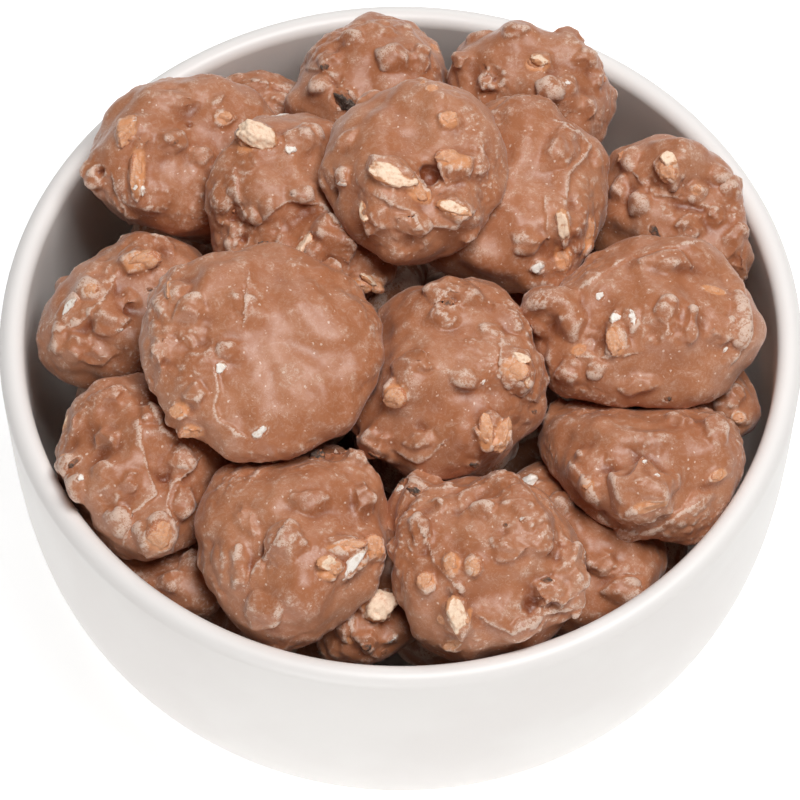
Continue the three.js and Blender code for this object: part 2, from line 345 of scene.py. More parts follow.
outside = wall(0, rim_radius, FOOT_RADIUS)
inside = wall(FLOOR_THICKNESS, rim_radius - 2 * LIP_RADIUS, FOOT_RADIUS - FLOOR_THICKNESS)
lip = [
    (rim_radius - LIP_RADIUS + LIP_RADIUS * math.cos(a), lip_level + LIP_RADIUS * math.sin(a))
    for a in (math.pi * i / LIP_STEPS for i in range(1, LIP_STEPS))
]
foot = [(0, 0), (FOOT_RADIUS - FOOT_EDGE, 0)]
profile = foot + outside[::-1] + lip + inside + [(0, FLOOR_THICKNESS)]

# %% Bowl by spinning
bpy.ops.mesh.primitive_plane_add(size=MM)
bowl = added("bowl_glazed")
bpy.ops.object.mode_set(mode="EDIT")
bpy.ops.mesh.select_all(action="SELECT")
bpy.ops.mesh.merge(type="CENTER")
bpy.ops.object.mode_set(mode="OBJECT")
bowl.data.vertices[0].co = (profile[0][0], 0, profile[0][1])
bpy.ops.object.mode_set(mode="EDIT")
for (radius, height), (before, below) in zip(profile[1:], profile):
    move = (radius - before, 0, height - below)
    bpy.ops.mesh.extrude_vertices_move(TRANSFORM_OT_translate={"value": move})
bpy.ops.mesh.select_all(action="SELECT")
bpy.ops.mesh.spin(steps=BOWL_TURNS, angle=2 * math.pi, center=(0, 0, 0), axis=(0, 0, 1))
bpy.ops.mesh.select_all(action="SELECT")
bpy.ops.mesh.remove_doubles(threshold=SAME_POINT)
bpy.ops.mesh.normals_make_consistent(inside=False)
bpy.ops.object.mode_set(mode="OBJECT")
bpy.ops.object.shade_smooth()
print("bowl:", len(bowl.data.polygons), "faces")

# %% [markdown]
# A satin white glaze is never one flat white. It pools a little, so its tone drifts over
# a few centimetres, and it has a faint orange-peel swell. From the lip up it is drawn a
# little brighter, as a painted highlight. Those three things are the finish, with a
# roughness that drifts as the tone does and a thin, soft coat for the glass on top.

# %% Glaze
GLAZE_WHITE = rgb(240, 236, 232)
GLAZE_POOLED = rgb(236, 231, 227)
# the lip's colour is a painted highlight, a little brighter than the glaze
GLAZE_LIP_HIGHLIGHT = rgb(242, 238, 235)

glaze = Finish("glaze", roughness=0.4, coat_weight=0.05, coat_roughness=0.2)
height = glaze.node("ShaderNodeSeparateXYZ", None, {0: glaze.places}, "Z")
# painted highlight: from the start of the lip up to the top, the glaze is drawn a little brighter
lip_highlight = glaze.step(height, lip_level, bowl_high.z)
pooled = glaze.step(glaze.noise(34 * MM, 3), 0.4, 0.65)
tone = glaze.blend(lip_highlight, glaze.blend(pooled, GLAZE_WHITE, GLAZE_POOLED), GLAZE_LIP_HIGHLIGHT)
swell = glaze.bump(glaze.noise(5 * MM, 1), 0.06 * MM, 0.5)
glaze.set(base_color=tone, normal=swell, roughness=0.38 + 0.08 * glaze.noise(9 * MM))
settle(bowl, glaze.material, "bowl")

# %% [markdown]
# ## What the picture shows on each cluster
#
# The named clusters were read off the picture one by one. Each mark is a pixel of the
# picture with its true size in millimetres and the angle of its long side, so a mark
# stays with its cluster however the chocolate around it is shaped.
#
# - lumps are nuts under the chocolate: pixel, length, width, angle
# - almonds, tans, whites and darks are broken pieces that stick out of it
# - pits are dents: pixel, width, depth
# - folds are lines where the chocolate ran and set, raised on their left: pixels, height
# - smooth places have no knobs or crags: pixel, width
#
# A cluster that the picture doesn't show whole has fewer kinds of mark, and one that it
# doesn't show at all has none: its lumps come by chance.

# %% Marks
MARKS = {
    "summit": {
        "lumps": [
            (455, 168, 8, 7, 60), (374, 221, 8, 7, 70), (343, 178, 5, 4, 30),
            (393, 172, 12, 6, -22), (452, 207, 8, 5, -20), (450, 122, 6, 5, 0),
            (420, 192, 7, 5, -30), (345, 140, 7, 4, 40), (480, 165, 5, 7, 0),
            (412, 225, 8, 5, -30), (470, 235, 6, 3, 35),
        ],
        "almonds": [
            (393, 176, 9.3, 3.6, -24), (364, 209, 2.2, 4.8, 0), (452, 206, 5.5, 2.2, -20),
        ],
        "tans": [
            (453, 158, 6, 3.5, -15), (419, 191, 5, 3, -35), (450, 118, 3.4, 3, 0),
            (432, 88, 1.8, 1.6, 0), (423, 82, 1.2, 1.2, 0), (457, 212, 5, 2.4, -15),
        ],
        "whites": [(341, 184, 2.4, 1.3, 30)],
        "darks": [(439, 195, 2.4, 0.8, -8)],
        "pits": [
            (430, 177, 4.4, 1.5), (427, 184, 1.8, 2.2), (334, 192, 1.6, 1.2), (410, 243, 5, 0.8),
        ],
        "folds": [
            ([(390, 203), (409, 212), (417, 227), (424, 232), (431, 225), (455, 226),
              (471, 214)], 0.9),
        ],
        "smooth": [(400, 125, 24), (380, 140, 18), (435, 250, 8), (400, 240, 10)],
    },
    "left_big": {
        "lumps": [
            (190, 312, 8, 6, 20), (228, 350, 6, 4, 0), (193, 395, 6, 5, 30), (176, 290, 6, 6, 0),
            (180, 411, 4.5, 4, 0), (190, 432, 5.5, 4.5, 20), (160, 303, 3, 6, 10),
            (160, 350, 5, 7, 0),
        ],
        "tans": [(178, 411, 3.4, 2.6, 20), (190, 434, 4.2, 2.8, 20), (167, 289, 1.2, 4, 5)],
        "whites": [(220, 369, 2.4, 2.2, 40), (260, 432, 3, 1.8, 30)],
        "pits": [(247, 290, 3, 0.6), (205, 340, 4, 0.7)],
        "folds": [
            ([(234, 430), (219, 421), (214, 407), (219, 392), (217, 378)], 0.7),
            ([(246, 247), (247, 280), (244, 313)], 0.5),
        ],
        "smooth": [(300, 350, 34), (250, 400, 24), (320, 300, 22), (200, 280, 12)],
    },
    "right_of_summit": {
        "lumps": [
            (562, 230, 4.5, 9, 0), (576, 243, 3, 11, 0), (590, 240, 3.5, 9, -10),
            (564, 279, 8, 3.5, -12), (539, 268, 5, 4, 0), (598, 162, 4, 6, 0),
            (560, 150, 12, 8, 60), (530, 240, 8, 6, 0),
        ],
        "almonds": [(562, 228, 2.8, 6.6, 5)],
        "tans": [
            (563, 257, 2.6, 5, 10), (589, 235, 2.2, 5.8, -8), (584, 262, 2.2, 5, -10),
            (575, 281, 3, 1.6, -10),
        ],
        "whites": [(538, 268, 2.4, 2, 20)],
        "pits": [(575, 205, 4, 0.8)],
        "folds": [
            ([(567, 191), (567, 176), (582, 161), (589, 147), (579, 135), (564, 126)], 1.0),
            ([(545, 207), (547, 232)], 0.5),
        ],
        "smooth": [(535, 170, 20), (545, 215, 16), (500, 260, 20), (540, 130, 14)],
    },
    "left_of_summit": {
        "lumps": [
            (258, 134, 9, 6, -10), (303, 140, 9, 7, -5), (338, 239, 13, 8, -38),
            (314, 256, 6, 7, 0), (251, 216, 5, 4, 0), (267, 205, 3, 3, 0), (369, 283, 8, 5, -15),
            (222, 205, 5, 9, 10), (300, 195, 6, 4, 0), (232, 240, 3, 8, 0),
        ],
        "almonds": [(257, 133, 8, 4.6, -15), (303, 245, 5, 2.6, 45), (371, 280, 5, 1.6, -15)],
        "tans": [(246, 143, 3, 5, 0), (360, 288, 4, 3, 0), (376, 284, 4, 2.4, -30)],
        "whites": [(291, 150, 2.2, 2, 0)],
        "darks": [(280, 256, 6.5, 3.6, -35)],
        "pits": [(242, 238, 2, 1)],
        "folds": [
            ([(262, 222), (275, 208), (295, 200), (318, 204), (335, 222)], 0.8),
            ([(240, 235), (246, 215), (238, 195), (236, 178)], 0.6),
        ],
        "smooth": [(310, 175, 16), (285, 180, 12), (340, 205, 10)],
    },
    "centre": {
        "lumps": [
            (444, 318, 7, 5.5, 0), (519, 369, 9, 9, 0), (493, 433, 10, 9, 0),
            (393, 395, 6, 5.5, 0), (512, 322, 11, 6, -50), (472, 463, 4, 3.5, 0),
            (410, 362, 10, 6, -20), (465, 378, 8, 5, -30), (490, 332, 6, 4, 0),
            (420, 440, 8, 5, 10), (375, 445, 9, 7, 30), (455, 292, 13, 8, 0),
        ],
        "almonds": [(521, 357, 3.6, 1.8, -20), (527, 377, 1.7, 4, 10)],
        "tans": [
            (486, 433, 2.6, 6.4, 8), (503, 436, 2.6, 6.4, -18), (517, 368, 4.6, 3.6, 0),
            (393, 396, 4.6, 4, 0),
        ],
        "whites": [(483, 382, 1.6, 1, 20)],
        "darks": [
            (447, 303, 3.4, 1.8, 25), (374, 456, 2.6, 1.6, 0), (475, 465, 2, 1.2, -20),
            (534, 412, 1.4, 1, 0),
        ],
        "pits": [(452, 298, 3, 0.8), (377, 459, 3, 0.6)],
        "folds": [
            ([(407, 457), (418, 462), (430, 456), (440, 447)], 0.6),
            ([(500, 345), (498, 375), (510, 392), (530, 400)], 0.5),
        ],
        "smooth": [(400, 330, 16), (430, 400, 20), (480, 310, 10), (440, 350, 10)],
    },
    "right": {
        "lumps": [
            (616, 333, 5, 9, 5), (632, 319, 4, 6, 0), (693, 325, 4, 8, 0), (720, 330, 8, 6, 0),
            (545, 304, 14, 9, 165), (541, 326, 5, 6, 0), (568, 373, 5, 6, 0), (597, 367, 4, 4, 0),
            (666, 309, 5, 5, 0), (570, 320, 8, 8, 0), (740, 320, 5, 12, 0), (660, 262, 14, 6, 10),
            (640, 385, 9, 5, 10),
        ],
        "tans": [(615, 341, 3, 5.4, 10), (714, 290, 4, 1.8, 0), (579, 350, 2.4, 1.8, 30)],
        "whites": [
            (616, 318, 2, 2.6, -30), (633, 318, 1.4, 3.4, 20), (725, 350, 1.6, 0.9, 45),
            (600, 296, 1.6, 1.8, 0),
        ],
        "darks": [(668, 399, 1.9, 1.1, 0)],
        "pits": [(655, 330, 4, 0.8), (676, 330, 3, 0.7), (600, 345, 5, 0.7)],
        "folds": [
            ([(737, 355), (750, 334), (748, 310), (741, 285)], 0.9),
            ([(589, 284), (625, 260), (657, 251), (693, 244)], 0.5),
            ([(577, 357), (600, 358), (625, 355)], 0.6),
        ],
        "smooth": [
            (670, 280, 26), (690, 360, 18), (580, 340, 12), (640, 300, 18), (650, 385, 12),
        ],
    },
    "back_left": {
        "lumps": [
            (126, 128, 5, 8, -25), (138, 175, 4, 11, 0), (94, 176, 6, 6, 0), (224, 118, 5, 4, 0),
            (142, 141, 4, 4, 0), (172, 140, 8, 6, 0), (200, 156, 7, 5, 0), (219, 98, 5, 2.5, 45),
            (203, 195, 3, 2.5, 0), (122, 205, 8, 4, -50), (180, 100, 12, 5, 5),
            (220, 175, 5, 6, 0),
        ],
        "tans": [
            (125, 128, 3.6, 6.6, -25), (138, 170, 2.5, 8.6, 0), (101, 120, 1.4, 1.4, 0),
            (224, 118, 3, 2.2, 0),
        ],
        "whites": [
            (134, 122, 0.9, 2, -20), (143, 191, 0.8, 1.9, 0), (227, 163, 3, 3.4, -30),
            (135, 187, 1.2, 1.2, 0),
        ],
        "darks": [(176, 142, 1.3, 1, 0)],
        "pits": [(99, 172, 2, 1.6), (190, 125, 1.2, 0.7), (160, 200, 5, 0.6)],
        "folds": [([(116, 188), (122, 205), (130, 222)], 0.7)],
        "smooth": [(180, 120, 20), (200, 150, 14), (110, 150, 10), (170, 180, 14)],
    },
    "back_mid": {
        "lumps": [
            (375, 30, 10, 6, 0), (330, 60, 6, 5, 0), (352, 40, 6, 5, 20), (420, 60, 6, 7, 0),
            (395, 60, 8, 6, 0), (318, 85, 5, 5, 0), (345, 95, 6, 4, -20),
        ],
        "tans": [(436, 48, 2.2, 1.6, 0)],
        "darks": [(342, 100, 5, 3.4, -40), (325, 68, 2, 1.6, 0)],
        "pits": [(336, 80, 2.6, 0.8)],
        "folds": [([(310, 70), (330, 74), (345, 90)], 0.6)],
        "smooth": [(380, 50, 16), (400, 90, 14), (350, 70, 10)],
    },
    "back_right": {
        "lumps": [
            (541, 60, 6, 5, 0), (490, 80, 7, 6, 0), (480, 40, 7, 5, 0), (515, 30, 6, 4, 0),
            (585, 60, 6, 5, 0), (567, 85, 6, 5, 0), (600, 80, 4, 5, 0), (590, 105, 5, 6, 0),
            (550, 90, 6, 5, 0), (460, 60, 5, 5, 0),
        ],
        "almonds": [(541, 59, 3.8, 2.6, -10)],
        "tans": [(538, 64, 4, 2.6, 0)],
        "whites": [(567, 83, 1.6, 1, 0)],
        "pits": [(490, 77, 4.2, 2)],
        "folds": [([(478, 88), (480, 100)], 0.4), ([(498, 90), (496, 104)], 0.4)],
        "smooth": [(520, 80, 14), (500, 50, 12), (480, 105, 10), (560, 70, 10)],
    },
    "back_small": {
        "lumps": [
            (250, 88, 10, 4, 5), (285, 100, 7, 4, -20), (235, 80, 6, 3, 0), (290, 90, 5, 3, 0),
        ],
        "darks": [(300, 112, 2.4, 1.6, 0)],
        "pits": [(302, 117, 2.4, 1.2)],
        "folds": [([(228, 86), (250, 82), (275, 86), (295, 96)], 0.7)],
    },
    "right_back": {
        "lumps": [
            (667, 170, 6, 8, 20), (630, 160, 6, 6, 0), (720, 175, 6, 5, 0), (731, 190, 5, 6, 0),
            (697, 190, 5, 5, 0), (640, 205, 6, 6, 0), (690, 225, 7, 6, 0), (735, 240, 5, 8, -20),
            (741, 272, 4, 8, 0), (620, 190, 5, 6, 0), (715, 215, 5, 5, 0),
        ],
        "almonds": [(668, 160, 3, 3.4, 10)],
        "tans": [(667, 171, 3.4, 4.6, 15), (697, 190, 1.8, 1.6, 0), (742, 172, 1, 2.6, -20)],
        "whites": [(664, 156, 1.6, 1.4, 0)],
        "darks": [(656, 234, 1.8, 4, 30)],
        "pits": [(650, 185, 3, 0.8), (675, 205, 4, 0.7)],
        "folds": [([(640, 180), (655, 195), (680, 198), (700, 205)], 0.6)],
        "smooth": [
            (640, 170, 12), (690, 180, 12), (620, 220, 14), (660, 210, 10), (720, 240, 10),
        ],
    },
    "far_left": {
        "lumps": [
            (140, 262, 9, 6, 10), (90, 290, 5, 4, 0), (70, 308, 8, 4, 45), (110, 320, 9, 7, 0),
            (75, 350, 7, 6, 0), (130, 300, 6, 5, 0), (165, 245, 7, 4, 0), (60, 340, 4, 7, 0),
            (100, 355, 8, 5, 0),
        ],
        "tans": [(141, 261, 7, 3.6, 10), (90, 290, 2.8, 2.2, 20)],
        "whites": [(68, 308, 5, 1.6, 45), (120, 330, 1.4, 1, 0)],
        "darks": [(150, 290, 1.4, 1, 0)],
        "pits": [(100, 275, 4, 0.8), (85, 325, 4, 0.8)],
        "folds": [([(60, 330), (80, 322), (100, 305), (112, 285)], 0.6)],
        "smooth": [(110, 280, 10), (130, 300, 10), (85, 355, 12), (180, 250, 12), (110, 320, 12)],
    },
    "left_low": {
        "lumps": [
            (158, 541, 8, 9, 0), (78, 490, 5, 7, 0), (66, 463, 6, 3.5, 10), (118, 519, 6, 6, 0),
            (181, 462, 7, 7, 0), (182, 500, 7, 9, 10), (105, 440, 7, 6, 0), (110, 395, 9, 6, 20),
            (130, 482, 5, 5, 0), (150, 415, 5, 6, 0), (75, 425, 4, 8, -20), (100, 470, 6, 5, 0),
        ],
        "almonds": [(66, 424, 1.4, 4.6, -12)],
        "tans": [(159, 539, 4.6, 5.4, -20), (63, 455, 1.2, 1, 0), (160, 531, 2.4, 2.8, 0)],
        "whites": [(80, 478, 1.6, 1.4, 0)],
        "darks": [(75, 462, 3, 1.2, 40)],
        "pits": [(108, 500, 4, 0.6), (165, 480, 3, 0.8)],
        "folds": [
            ([(139, 510), (156, 495), (150, 480), (144, 460), (141, 430)], 0.7),
            ([(127, 536), (130, 524), (127, 515)], 0.5),
            ([(173, 524), (167, 507), (173, 487), (193, 466)], 0.8),
            ([(147, 400), (155, 415), (161, 430), (172, 438)], 0.5),
        ],
        "smooth": [
            (110, 470, 16), (140, 430, 14), (150, 500, 12), (100, 440, 10), (120, 530, 10),
        ],
    },
    "front_left": {
        "lumps": [
            (375, 547, 6, 6, 0), (349, 546, 9, 5, 10), (330, 568, 6, 5, 0), (284, 545, 9, 9, 20),
            (352, 566, 8, 4, 50), (245, 520, 5, 8, 30), (320, 455, 4, 4, 0),
            (350, 455, 8, 5, -40), (306, 502, 10, 6, 10), (265, 610, 10, 8, 20),
            (365, 500, 6, 8, 0), (240, 570, 5, 9, 0),
        ],
        "almonds": [(329, 563, 4.4, 2.4, -5)],
        "tans": [
            (376, 547, 4.4, 4.4, 0), (349, 545, 6.4, 1.8, 10), (331, 571, 4, 3, 0),
            (364, 565, 1.4, 1.2, 0),
        ],
        "whites": [(353, 565, 6.2, 2.4, 52)],
        "darks": [(319, 455, 3, 2.6, 45)],
        "pits": [(343, 449, 3.4, 1), (262, 556, 4, 0.8)],
        "folds": [
            ([(281, 530), (261, 560), (251, 577)], 0.8),
            ([(255, 478), (262, 470), (290, 462)], 0.5),
        ],
        "smooth": [
            (285, 590, 20), (300, 500, 18), (260, 540, 12), (340, 500, 12), (320, 610, 12),
        ],
    },
    "front_right": {
        "lumps": [
            (451, 563, 4, 5, 0), (473, 566, 4, 4.5, 0), (425, 582, 4.5, 5, 0),
            (458, 618, 6, 9, 10), (440, 502, 4, 3.5, 0), (412, 494, 5, 5, 0), (543, 592, 6, 7, 0),
            (576, 595, 4.5, 9, 0), (456, 590, 4, 4, 0), (510, 548, 8, 6, 0), (420, 530, 5, 8, 0),
            (540, 540, 8, 6, 20), (525, 628, 10, 5, 15), (451, 646, 5, 3.5, 20),
            (480, 510, 9, 5, 0), (408, 503, 17, 10, 130), (570, 575, 8, 14, -20),
        ],
        "almonds": [(457, 617, 3.4, 6.8, 12)],
        "tans": [
            (451, 563, 2.8, 3.6, 0), (473, 566, 3, 3.2, -20), (425, 582, 3.2, 3.4, 0),
            (451, 646, 3, 1.6, 25), (441, 620, 1.6, 1.4, 0), (469, 617, 1.2, 3, 0),
        ],
        "whites": [(522, 519, 1.6, 1, 0), (400, 489, 1.8, 1.6, 0)],
        "darks": [
            (546, 580, 2.4, 1.8, 0), (413, 491, 3, 1.4, -20), (403, 482, 2, 1.6, 0),
            (505, 525, 1.2, 1, 0),
        ],
        "pits": [(425, 507, 5, 1), (530, 605, 4, 0.7)],
        "folds": [
            ([(486, 620), (513, 633), (534, 626), (546, 613), (566, 610)], 0.8),
            ([(425, 540), (435, 562), (446, 573), (455, 586)], 0.6),
            ([(411, 481), (429, 491), (445, 490)], 0.7),
        ],
        "smooth": [(500, 580, 16), (470, 540, 12), (420, 620, 12), (440, 600, 8), (540, 560, 8)],
    },
    "right_low": {
        "lumps": [
            (643, 493, 14, 13, 0), (580, 453, 3, 3, 0), (590, 490, 5, 6, 0), (680, 420, 7, 5, 0),
            (719, 476, 6, 4, 20), (715, 430, 6, 8, 0), (700, 500, 9, 4, 30),
        ],
        "tans": [(652, 506, 6, 2.4, 8), (587, 486, 2.2, 1.8, 0), (719, 476, 3, 1.8, 20)],
        "whites": [(645, 462, 1, 0.8, 0), (657, 475, 1.2, 0.9, 0)],
        "pits": [(638, 464, 7, 0.5), (607, 470, 4, 0.7)],
        "folds": [
            ([(686, 509), (663, 523), (641, 533), (613, 524), (600, 513), (598, 499),
              (590, 483), (575, 466)], 0.7),
        ],
        "smooth": [
            (643, 493, 13), (638, 462, 12), (610, 470, 9), (600, 430, 18), (700, 440, 18),
            (650, 420, 18), (580, 490, 10), (690, 480, 12),
        ],
    },
    "right_edge": {
        "lumps": [(735, 397, 5, 5, 0), (737, 418, 5, 4, 0), (720, 410, 4, 5, 0)],
        "tans": [(739, 417, 2.4, 2, 0)],
    },
    "front_mid": {
        "lumps": [
            (377, 606, 8, 8, 0), (365, 640, 6, 5, 0), (392, 640, 5, 4, 30), (345, 625, 5, 6, 0),
            (395, 590, 4, 5, 0),
        ],
        "almonds": [(378, 607, 6.4, 5.4, 10)],
        "tans": [(366, 600, 2.6, 4, 10), (350, 640, 1.6, 1.4, 0)],
        "whites": [(392, 640, 2.4, 1, 45)],
        "darks": [(365, 647, 2, 1.4, 0), (384, 652, 1.6, 1.2, 0)],
        "folds": [([(345, 610), (352, 635), (372, 655)], 0.5)],
    },
    "front_deep": {
        "lumps": [
            (525, 483, 6, 4, 0), (600, 560, 8, 6, 0), (620, 590, 8, 5, 0), (560, 505, 6, 6, 0),
        ],
        "whites": [(525, 482, 4.6, 2.6, 10)],
        "folds": [([(575, 560), (600, 575), (625, 575)], 0.6)],
        "smooth": [(600, 560, 30), (560, 520, 14)],
    },
    "left_deep": {
        "lumps": [(170, 580, 6, 5, 0), (190, 560, 6, 5, 0)],
    },
}
SHOWN = list(MARKS)
HIDDEN = [name for name in heap if name not in MARKS]


def marks_of(name, kind):
    """The marks of one kind on a cluster, or none."""
    return MARKS.get(name, {}).get(kind, [])


print(len(SHOWN), "clusters with marks,", len(HIDDEN), "without")

# %% [markdown]
# ## From a solid to a drop of chocolate
#
# The frame's cluster is a coarse mesh with the right outline. Four steps turn it into
# poured chocolate. It is smoothed. Rounded nut shapes are pushed into its skin where the
# picture shows lumps, and more by chance where it shows none. A voxel remesh melts all
# of it into one skin, and a few rounds of smoothing let that skin sag between the lumps,
# as chocolate does. The remesh also gives faces of one even size, which the relief needs.

# %% Nut shapes to copy
SKIN_VOXEL = 0.38 * MM
DEEP_VOXEL = 0.9 * MM  # for the clusters that no picture shows
SAG_ROUNDS = {True: 9, False: 3}  # for shown and hidden clusters
LUMP_SINK = 0.1  # share of a lump's height by which its middle lies below the skin
LUMP_HEIGHT = 0.85  # lumps are flatter than they are wide
KERNEL_FACETS = (  # for each rough nut, the planes that cut it: facing, distance
    (((1, 0.3, 0.6), 0.4), ((-0.8, 0.5, 0.5), 0.43)),
    (((0.2, -1, 0.7), 0.4), ((-1, -0.2, 0.2), 0.42)),
    (((0.5, 0.9, 0.9), 0.4), ((0.9, -0.7, 0.1), 0.4)),
)

KERNEL_KNOBS = 0.42  # how tall its knobs are
knobbly = bpy.data.textures.new("knobbly", "CLOUDS")
knobbly.noise_scale = 0.34
knobbly.noise_depth = 2


def kernel_of(number, facets):
    """A rough nut, 1 wide: a ball with soft knobs and two broken faces.

    It is moved along the cloud texture and back, so that each one has knobs of its own.
    """
    bpy.ops.mesh.primitive_ico_sphere_add(subdivisions=3, radius=0.5)
    piece = added(f"kernel_{number}")
    piece.data.transform(Matrix.Translation((number, 0, 0)))
    modify(piece, "DISPLACE", texture=knobbly, strength=KERNEL_KNOBS, mid_level=0.5,
           texture_coords="LOCAL")
    piece.data.transform(Matrix.Translation((-number, 0, 0)))
    only(piece)
    bpy.ops.object.mode_set(mode="EDIT")
    for side, share in facets:
        bpy.ops.mesh.select_all(action="SELECT")
        way = Vector(side).normalized()
        bpy.ops.mesh.bisect(plane_co=way * share, plane_no=way, use_fill=True, clear_outer=True)
    bpy.ops.object.mode_set(mode="OBJECT")
    piece.hide_render = True
    return piece


KERNELS = [kernel_of(number, facets) for number, facets in enumerate(KERNEL_FACETS)]
print(len(KERNELS), "rough nuts of", [len(piece.data.polygons) for piece in KERNELS], "faces")


# %% Placing by pixel
def facing(normal, turn):
    """Axes for a piece on a surface: its length at an angle in the picture, its top outwards."""
    angle = math.radians(turn)
    right, up = (camera.matrix_world.to_3x3() @ Vector(axis) for axis in ((1, 0, 0), (0, 1, 0)))
    along = right * math.cos(angle) + up * math.sin(angle)
    along = (along - along.dot(normal) * normal).normalized()
    return Matrix((along, normal.cross(along), normal)).transposed()


def surface_at(tree, x, y):
    """Where the ray through a pixel meets a skin, and the skin's normal there."""
    place, normal, _, _ = tree.ray_cast(camera.location, photo_ray(x, y))
    return place, normal


def tree_of(piece):
    """What rays are cast at, and what nearest points are looked up in."""
    return BVHTree.FromObject(piece, bpy.context.evaluated_depsgraph_get())


def chance_places(tree, piece, count, dice):
    """Places on a skin, with their normals, picked by chance from all round it."""
    points = points_of(piece.data)
    low, high = Vector(points.min(axis=0)), Vector(points.max(axis=0))
    middle, reach = (low + high) / 2, (high - low).length
    found = []
    while len(found) < count:
        way = Vector([dice.gauss(0, 1) for _ in range(3)]).normalized()
        place, normal, _, _ = tree.ray_cast(middle + way * reach, -way)
        if place is not None:
            found.append((place, normal))
    return found


# %% Body with lumps
CHANCE_LUMPS = {True: 10, False: 8}  # for shown and hidden clusters
CHANCE_LENGTH = (3.5, 7.5)
CHANCE_SLIMNESS = (0.6, 0.95)
CLEARANCE = 4.5 * MM  # between the middles of two lumps, where one is there by chance
IN_VIEW = 15 * MM  # below the rim, a side that faces the camera still shows
SOLID_WELD = 0.001 * MM  # the solid's faces share their corners only within this


def body_of(name):
    """The frame's cluster as one clean, smooth skin."""
    body = copy_of(nodes[name], "cluster_" + name)
    only(body)
    bpy.ops.object.mode_set(mode="EDIT")
    bpy.ops.mesh.select_all(action="SELECT")
    bpy.ops.mesh.remove_doubles(threshold=SOLID_WELD)
    bpy.ops.object.mode_set(mode="OBJECT")
    modify(body, "SUBSURF", levels=2, render_levels=2)
    return body


def lump_at(place, normal, length, width, turn, dice):
    """A rough nut of a size in millimetres, its middle just below the skin."""
    size = Vector((length, width, LUMP_HEIGHT * min(length, width))) * MM
    axes = facing(normal, turn + dice.choice((0, 180))).to_4x4()
    sunk = place - normal * LUMP_SINK * size.z
    matrix = Matrix.Translation(sunk) @ axes @ Matrix.Diagonal((*size, 1))
    return copy_of(dice.choice(KERNELS), "lump", matrix)


def poured(name, dice):
    """The cluster's body with its lumps, melted into one skin."""
    body = body_of(name)
    tree = tree_of(body)
    lumps, taken = [], []
    for x, y, length, width, turn in marks_of(name, "lumps"):
        place, normal = surface_at(tree, x, y)
        if place is None:
            print("  no", name, "at", x, y)
            continue
        taken.append(place)
        lumps.append(lump_at(place, normal, length, width, turn, dice))
    for place, normal in chance_places(tree, body, CHANCE_LUMPS[name in MARKS], dice):
        length = dice.uniform(*CHANCE_LENGTH)
        width = length * dice.uniform(*CHANCE_SLIMNESS)
        turn = dice.uniform(0, 180)
        seen = normal.dot(camera.location - place) > 0 and place.z > rim_centre.z - IN_VIEW
        if name in MARKS and seen:
            continue
        if all((place - other).length > CLEARANCE for other in taken):
            taken.append(place)
            lumps.append(lump_at(place, normal, length, width, turn, dice))
    body = joined([body, *lumps], "cluster_" + name)
    voxel = SKIN_VOXEL if name in MARKS else DEEP_VOXEL
    modify(body, "REMESH", mode="VOXEL", voxel_size=voxel)
    modify(body, "SMOOTH", factor=0.5, iterations=SAG_ROUNDS[name in MARKS])
    return body


# %% [markdown]
# ## Relief
#
# Poured chocolate is uneven at every size: slow swells a centimetre long, knobs with
# creases between them, ripples, and patches of fine crags where crumbs lie under the
# skin. Each is a Displace modifier with a cloud texture, and a hard cloud gives round
# knobs and sharp creases. The crags, the dents and the folds are painted: a vertex group
# says how much of the modifier each vertex gets. Where the picture shows a broad glossy
# run of chocolate, a smooth mark keeps the knobs and crags away.

# %% Reliefs by cloud texture
RELIEF = {  # cloud size in mm, height in mm, level that stays, detail, kind
    "swells": (9.0, 4.0, 0.5, 1, "SOFT_NOISE"),
    "knobs": (5.2, 1.5, 0.3, 1, "HARD_NOISE"),
    "ripples": (2.6, 0.45, 0.5, 2, "SOFT_NOISE"),
    "crags": (1.4, 0.6, 0.3, 2, "HARD_NOISE"),
}


def cloud(size, detail, kind):
    """A cloud texture. Hard noise has creases where soft noise is level."""
    texture = bpy.data.textures.new(f"cloud_{size}", "CLOUDS")
    texture.noise_scale = size * MM
    texture.noise_depth = detail
    texture.noise_type = kind
    texture.noise_basis = "IMPROVED_PERLIN"
    return texture


clouds = {name: cloud(size, detail, kind) for name, (size, _, _, detail, kind) in RELIEF.items()}


def push(piece, kind, group=""):
    """One kind of relief, all over or where a vertex group says."""
    _, tall, level, _, _ = RELIEF[kind]
    modify(piece, "DISPLACE", texture=clouds[kind], strength=tall * MM, mid_level=level,
           texture_coords="LOCAL", vertex_group=group)


print("reliefs:", ", ".join(RELIEF))

# %% [markdown]
# Paint is worked out from distances: to the middle of a dent or of a nut, and to the line
# of a fold. A fold is where one run of chocolate stopped on another, so it has a steep
# edge on one side and a long back on the other. A nut that sticks out has a low lip of
# chocolate round it. No real outline is even, so each distance is stretched and squeezed
# a little by soft noise.

# %% Paint and distances
LEAST_WEIGHT = 0.002  # a vertex with less isn't painted


def paint(piece, group, weights):
    """Fills a vertex group with one weight for each vertex that has any."""
    painted = piece.vertex_groups.new(name=group)
    for index in np.flatnonzero(weights > LEAST_WEIGHT):
        painted.add([int(index)], float(weights[index]), "REPLACE")


def drift_at(points, size):
    """Soft noise, about -1 to 1, whose clouds are size wide."""
    return np.array([noise.noise(Vector(point / size)) for point in points])


def beside_line(points, line):
    """Distance to a line of stretches, and whether the camera sees a point on its left."""
    back = np.array(toward_camera)
    best, left = np.full(len(points), np.inf), np.zeros(len(points), bool)
    for start, end in zip(line, line[1:]):
        a, b = np.array(start), np.array(end)
        along = b - a
        share = np.clip((points - a) @ along / (along @ along), 0, 1)
        off = points - a - share[:, None] * along
        away = np.linalg.norm(off, axis=1)
        nearer = away < best
        best[nearer] = away[nearer]
        left[nearer] = (off[nearer] @ np.cross(back, along)) > 0
    return best, left


def around_place(points, place, across):
    """Distance from a round mark's middle in its own half widths."""
    return np.linalg.norm(points - np.array(place), axis=1) / (across * MM / 2)


